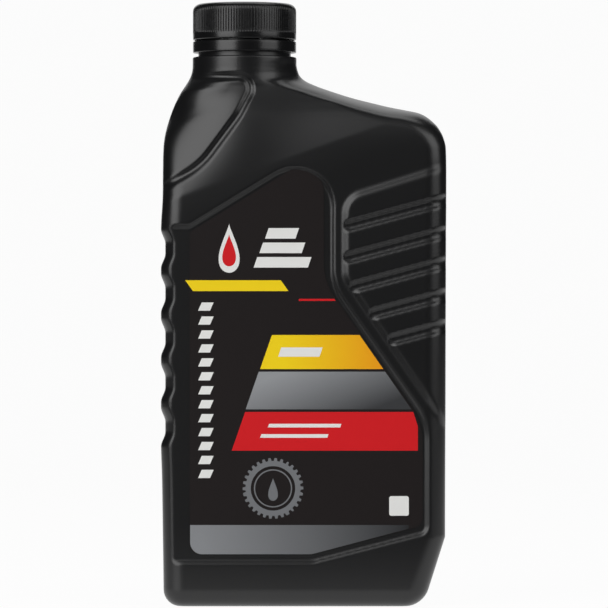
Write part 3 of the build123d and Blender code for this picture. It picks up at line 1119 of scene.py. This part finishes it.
@dataclass
class FrontLabel:
    """The printed film label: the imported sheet, with inks laid on it as flat fields."""

    face_y: float = -25.55
    ink: float = 0.02
    bend_x: float = 10.4
    bend_z: float = 124.0
    fall: float = 1.4317
    right_x: float = 46.0
    margin: float = 1.9

    def layer(
        self, name: str, fields: list[np.ndarray], finish: Finish, level: int, holes: bool = False
    ) -> None:
        """Lay flat fields of one ink on the label, each a closed plate as thick as the ink.

        Args:
            name: The piece's name.
            fields: Outlines in X and Z, counter-clockwise seen from the front.
            finish: The ink.
            level: How many inks lie under it.
            holes: Whether each outline is a ring, its second half of points the hole's edge.
        """
        back_y = self.face_y - self.ink * level
        points, faces, base = [], [], 0
        for outline in fields:
            count = len(outline)
            points += [np.insert(outline, 1, y, axis=1) for y in (back_y - self.ink, back_y)]
            a = base + np.arange(count // 2 if holes else count)
            b = np.roll(a, -1)
            quads = [(b, a, a + count, b + count)]
            if holes:
                c, d = b + count // 2, a + count // 2
                quads.append((d, c, c + count, d + count))
                quads += [(a, b, c, d), (d + count, c + count, b + count, a + count)]
            else:
                faces += [a.tolist(), (a + count)[::-1].tolist()]
            faces += np.concatenate([np.stack(corners, 1) for corners in quads]).tolist()
            base += 2 * count
        mesh = bpy.data.meshes.new(name)
        mesh.from_pydata((np.concatenate(points) * MM).tolist(), [], faces)
        mesh.update()
        piece = bpy.data.objects.new(name, mesh)
        bpy.context.scene.collection.objects.link(piece)
        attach(piece, FLASK)
        dress(piece, finish)
        LOG.info("%s: %d fields, rides on %s", name, len(fields), FLASK)

    def edge(self, z: float) -> float:
        """Where the label's right side is at a height, less the margin."""
        slanted_side = self.bend_x + (self.bend_z - z) / self.fall
        return min(slanted_side, self.right_x) - self.margin

    def slanted(
        self, left: float, right: float, low: float, high: float, lean: float
    ) -> np.ndarray:
        """A band with upright edges leant over: its top is shifted by the lean."""
        return np.array([(left, low), (right, low), (right + lean, high), (left + lean, high)])

    def to_edge(self, left: float, low: float, high: float, lean: float) -> np.ndarray:
        """A band whose left end leans and whose right end follows the label's side."""
        ends = [(self.edge(low), low), (self.edge(high), high)]
        return np.array([(left, low), *ends, (left + lean, high)])

    def drop(self, x: float, z: float, size: float) -> np.ndarray:
        """A drop, drawn out to a point at the top: its height is the cosine of the turn, its
        width the sine of the turn times the sine of half the turn to the power of 1.6.

        Args:
            x: Its middle across.
            z: Its middle's height.
            size: Half its height.

        Returns:
            Its outline.
        """
        turn = np.linspace(0, 2 * math.pi, 48, endpoint=False)
        wide = np.sin(turn) * np.sin(turn / 2) ** 1.6
        return np.stack([x - size * 0.62 * wide, z + size * np.cos(turn)], 1)

    def ring(self, x: float, z: float, outer: float, inner: float, teeth: int) -> np.ndarray:
        """A ring whose outer radius swings by a twentieth with the sign of the cosine of the
        turn times the teeth.

        Args:
            x: Its middle across.
            z: Its middle's height.
            outer: Outer radius.
            inner: Radius of the hole.
            teeth: How many teeth it has, 0 for a smooth rim.

        Returns:
            Its rim, then the hole's edge, with as many points.
        """
        turn = np.linspace(0, 2 * math.pi, 240, endpoint=False)
        rim = outer * (1 + 0.05 * np.sign(np.cos(teeth * turn)) * (teeth > 0))
        radius = np.concatenate([rim, np.full(len(turn), inner)])
        turn = np.tile(turn, 2)
        return np.stack([x + radius * np.cos(turn), z + radius * np.sin(turn)], 1)

    def build(self, sheet: bpy.types.Object) -> None:
        """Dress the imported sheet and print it.

        Args:
            sheet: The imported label.
        """
        dress(sheet, BLACK_INK)
        LOG.info("front_label: packed sheet, rides on %s", FLASK)
        foot = [(-44.1, 20.5), (3.0, 20.5), (40.5, 30.4), (40.5, 31.8), (-44.1, 31.8)]
        self.layer("print_foot", [rounded_outline(foot, [4.6, 10.0, 0.0, 0.0, 0.0])], FOOT_INK, 0)
        self.layer("print_drop", [self.drop(-29.0, 139.0, 9.5)], WHITE_INK, 0)
        self.layer("print_drop_core", [self.drop(-29.0, 138.2, 6.2)], RED_INK, 1)
        bars = [
            self.slanted(-19.5 + 2.2 * i, 1.5 - 2.4 * i, 131.5 + 5.6 * i, 135.6 + 5.6 * i, 1.4)
            for i in range(3)
        ]
        self.layer("print_bars", bars, WHITE_INK, 0)
        stripe = [self.slanted(-43.0, -6.0, 122.4, 126.6, -3.0)]
        self.layer("print_stripe", stripe, YELLOW_INK, 0)
        self.layer("print_line", [self.to_edge(-2.0, 118.6, 119.4, 0.0)], RED_INK, 0)
        ticks = [self.slanted(-41.0, -36.4, 50.0 + 5.4 * i, 53.2 + 5.4 * i, 1.4) for i in range(13)]
        self.layer("print_ticks", ticks, WHITE_INK, 0)
        self.layer("print_yellow", [self.to_edge(-17.0, 92.2, 105.4, 4.6)], YELLOW_INK, 0)
        self.layer("print_grey", [self.to_edge(-22.6, 76.6, 91.2, 5.1)], GREY_INK, 0)
        red = [(-28.0, 60.6), *((self.edge(z), z) for z in (60.6, 70.0, 75.6)), (-22.8, 75.6)]
        self.layer("print_red", [np.array(red)], RED_INK, 0)
        self.layer("print_accents", [self.slanted(-10.0, 6.0, 97.0, 100.6, 1.2)], WHITE_INK, 1)
        lines = [
            self.slanted(-14.0 - 3 * i, 14.0 - 5 * i, 69.6 - 4.0 * i, 71.0 - 4.0 * i, 0.5)
            for i in range(2)
        ]
        self.layer("print_lines", lines, WHITE_INK, 1)
        rings = [self.ring(-12.0, 46.0, 11.2, 8.6, 30), self.ring(-12.0, 46.0, 7.4, 6.9, 0)]
        self.layer("print_rings", rings, RING_INK, 0, holes=True)
        self.layer("print_ring_drop", [self.drop(-12.0, 45.6, 4.4)], RING_INK, 0)
        patch = [(33.0, 35.4), (40.6, 35.4), (40.6, 43.0), (33.0, 43.0)]
        self.layer("print_patch", [rounded_outline(patch, [0.8] * 4, 5)], WHITE_INK, 0)


@dataclass
class Studio:
    """Floor, backdrop, lamps and camera, in metres and watts where no unit is named."""

    distance: float = 2.0
    height: float = 0.1174
    view_width: float = 0.2385
    sweep_half_mm: float = 900.0
    sweep_front_mm: float = -120.0
    sweep_top_mm: float = 4000.0
    bend_from_mm: float = 1500.0
    bend_radius_mm: float = 900.0
    white_share: float = 0.96
    air: float = 0.05
    lamps: tuple[tuple[str, tuple[float, float, float], tuple[float, float], float], ...] = (
        ("softbox_left", (-0.88, -1.01, 0.7), (1.15, 1.4), 16.0),
        ("softbox_right", (1.13, -0.7, 0.76), (1.14, 1.2), 8.5),
        ("front_fill", (0.1, -0.9, 1.5), (1.6, 0.8), 1.0),
        ("low_fill", (0.15, -1.1, -0.6), (1.6, 0.5), 2.2),
        ("front_card", (0.1, -1.5, 0.95), (1.2, 0.5), 0.8),
        ("overhead", (0.1, 0.5, 1.6), (1.2, 0.6), 4.0),
    )

    def stage(self) -> None:
        """Make a pale sweep: a floor that curves up a quarter circle into a wall behind. What
        the camera and clear reflections see of it glows white, so no lamp has to light it."""
        x = np.linspace(-self.sweep_half_mm, self.sweep_half_mm, 9)
        turn = np.linspace(0, math.pi / 2, 24)
        back = self.bend_from_mm + self.bend_radius_mm
        bend_y = self.bend_from_mm + self.bend_radius_mm * np.sin(turn)
        y = np.concatenate([[self.sweep_front_mm], bend_y, [back]])
        z = np.concatenate([[0.0], self.bend_radius_mm * (1 - np.cos(turn)), [self.sweep_top_mm]])
        sides = (x[None, :], y[:, None], z[:, None])
        grid = np.stack([np.broadcast_to(v, (len(y), len(x))) for v in sides], -1)
        faces = grid_faces(*grid.shape[:2], False)
        mesh = bpy.data.meshes.new("studio_sweep")
        mesh.from_pydata((grid.reshape(-1, 3) * MM).tolist(), [], faces.tolist())
        mesh.polygons.foreach_set("use_smooth", np.ones(len(faces), bool))
        sweep = bpy.data.objects.new("studio_sweep", mesh)
        bpy.context.scene.collection.objects.link(sweep)
        paper = bpy.data.materials.new("studio_paper")
        paper.use_nodes = True
        shader = paper.node_tree.nodes["Principled BSDF"]
        shader.inputs["Base Color"].default_value = linear("#f4f4f4")
        shader.inputs["Roughness"].default_value = 0.9
        shader.inputs["Specular IOR Level"].default_value = 0.1
        tree = paper.node_tree
        rays = add_node(tree, "ShaderNodeLightPath").outputs
        share = rays["Is Camera Ray"]
        steps = [("MAXIMUM", rays["Is Glossy Ray"]), ("MAXIMUM", rays["Is Transmission Ray"])]
        for step, value in [*steps, ("MULTIPLY", self.white_share)]:
            links = {0: share, 1: value}
            share = add_node(tree, "ShaderNodeMath", links, operation=step).outputs[0]
        white = {"Color": (1.0, 1.0, 1.0, 1.0), "Strength": 1.0}
        glow = add_node(tree, "ShaderNodeEmission", white)
        mixed = add_node(
            tree, "ShaderNodeMixShader", {0: share, 1: shader.outputs[0], 2: glow.outputs[0]}
        )
        tree.links.new(mixed.outputs[0], tree.nodes["Material Output"].inputs["Surface"])
        mesh.materials.append(paper)

    def lamp(
        self, name: str, place: tuple[float, float, float], size: tuple[float, float], power: float
    ) -> None:
        """Add a rectangular softbox that faces the bottle's middle.

        Args:
            name: The lamp's name.
            place: Where it stands, in metres.
            size: Its width and height.
            power: Its power in watts.
        """
        data = bpy.data.lights.new(name, "AREA")
        data.shape = "RECTANGLE"
        data.size, data.size_y = size
        data.energy = power
        lamp = bpy.data.objects.new(name, data)
        lamp.location = place
        aim = bpy.data.objects.new(name + "_aim", None)
        aim.location = (0.0, 0.0, 0.12)
        for item in (lamp, aim):
            bpy.context.scene.collection.objects.link(item)
        track = lamp.constraints.new("TRACK_TO")
        track.target = aim
        track.track_axis = "TRACK_NEGATIVE_Z"
        track.up_axis = "UP_Y"

    def build(self) -> None:
        """Set the stage, the lamps, the world and the camera."""
        self.stage()
        for lamp in self.lamps:
            self.lamp(*lamp)
        world = bpy.data.worlds.new("studio_air")
        world.use_nodes = True
        back = world.node_tree.nodes["Background"]
        back.inputs["Color"].default_value = linear("#dfe2e6")
        back.inputs["Strength"].default_value = self.air
        bpy.context.scene.world = world
        data = bpy.data.cameras.new("photo_camera")
        data.sensor_width = 36.0
        data.lens = 36.0 * self.distance / self.view_width
        data.clip_end = 50.0
        camera = bpy.data.objects.new("photo_camera", data)
        camera.location = (0.0, -self.distance, self.height)
        camera.rotation_euler = (math.pi / 2, 0.0, 0.0)
        bpy.context.scene.collection.objects.link(camera)
        bpy.context.scene.camera = camera
        bpy.context.scene.view_settings.view_transform = "Standard"


def main() -> None:
    """Load the frame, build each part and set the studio."""
    logging.basicConfig(level=logging.INFO, format="%(name)s: %(message)s")
    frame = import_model()
    Flask().build()
    Neck().build()
    Closure().build()
    FrontLabel().build(frame["nodes"]["front_label"])
    Studio().build()


if __name__ == "__main__":
    main()
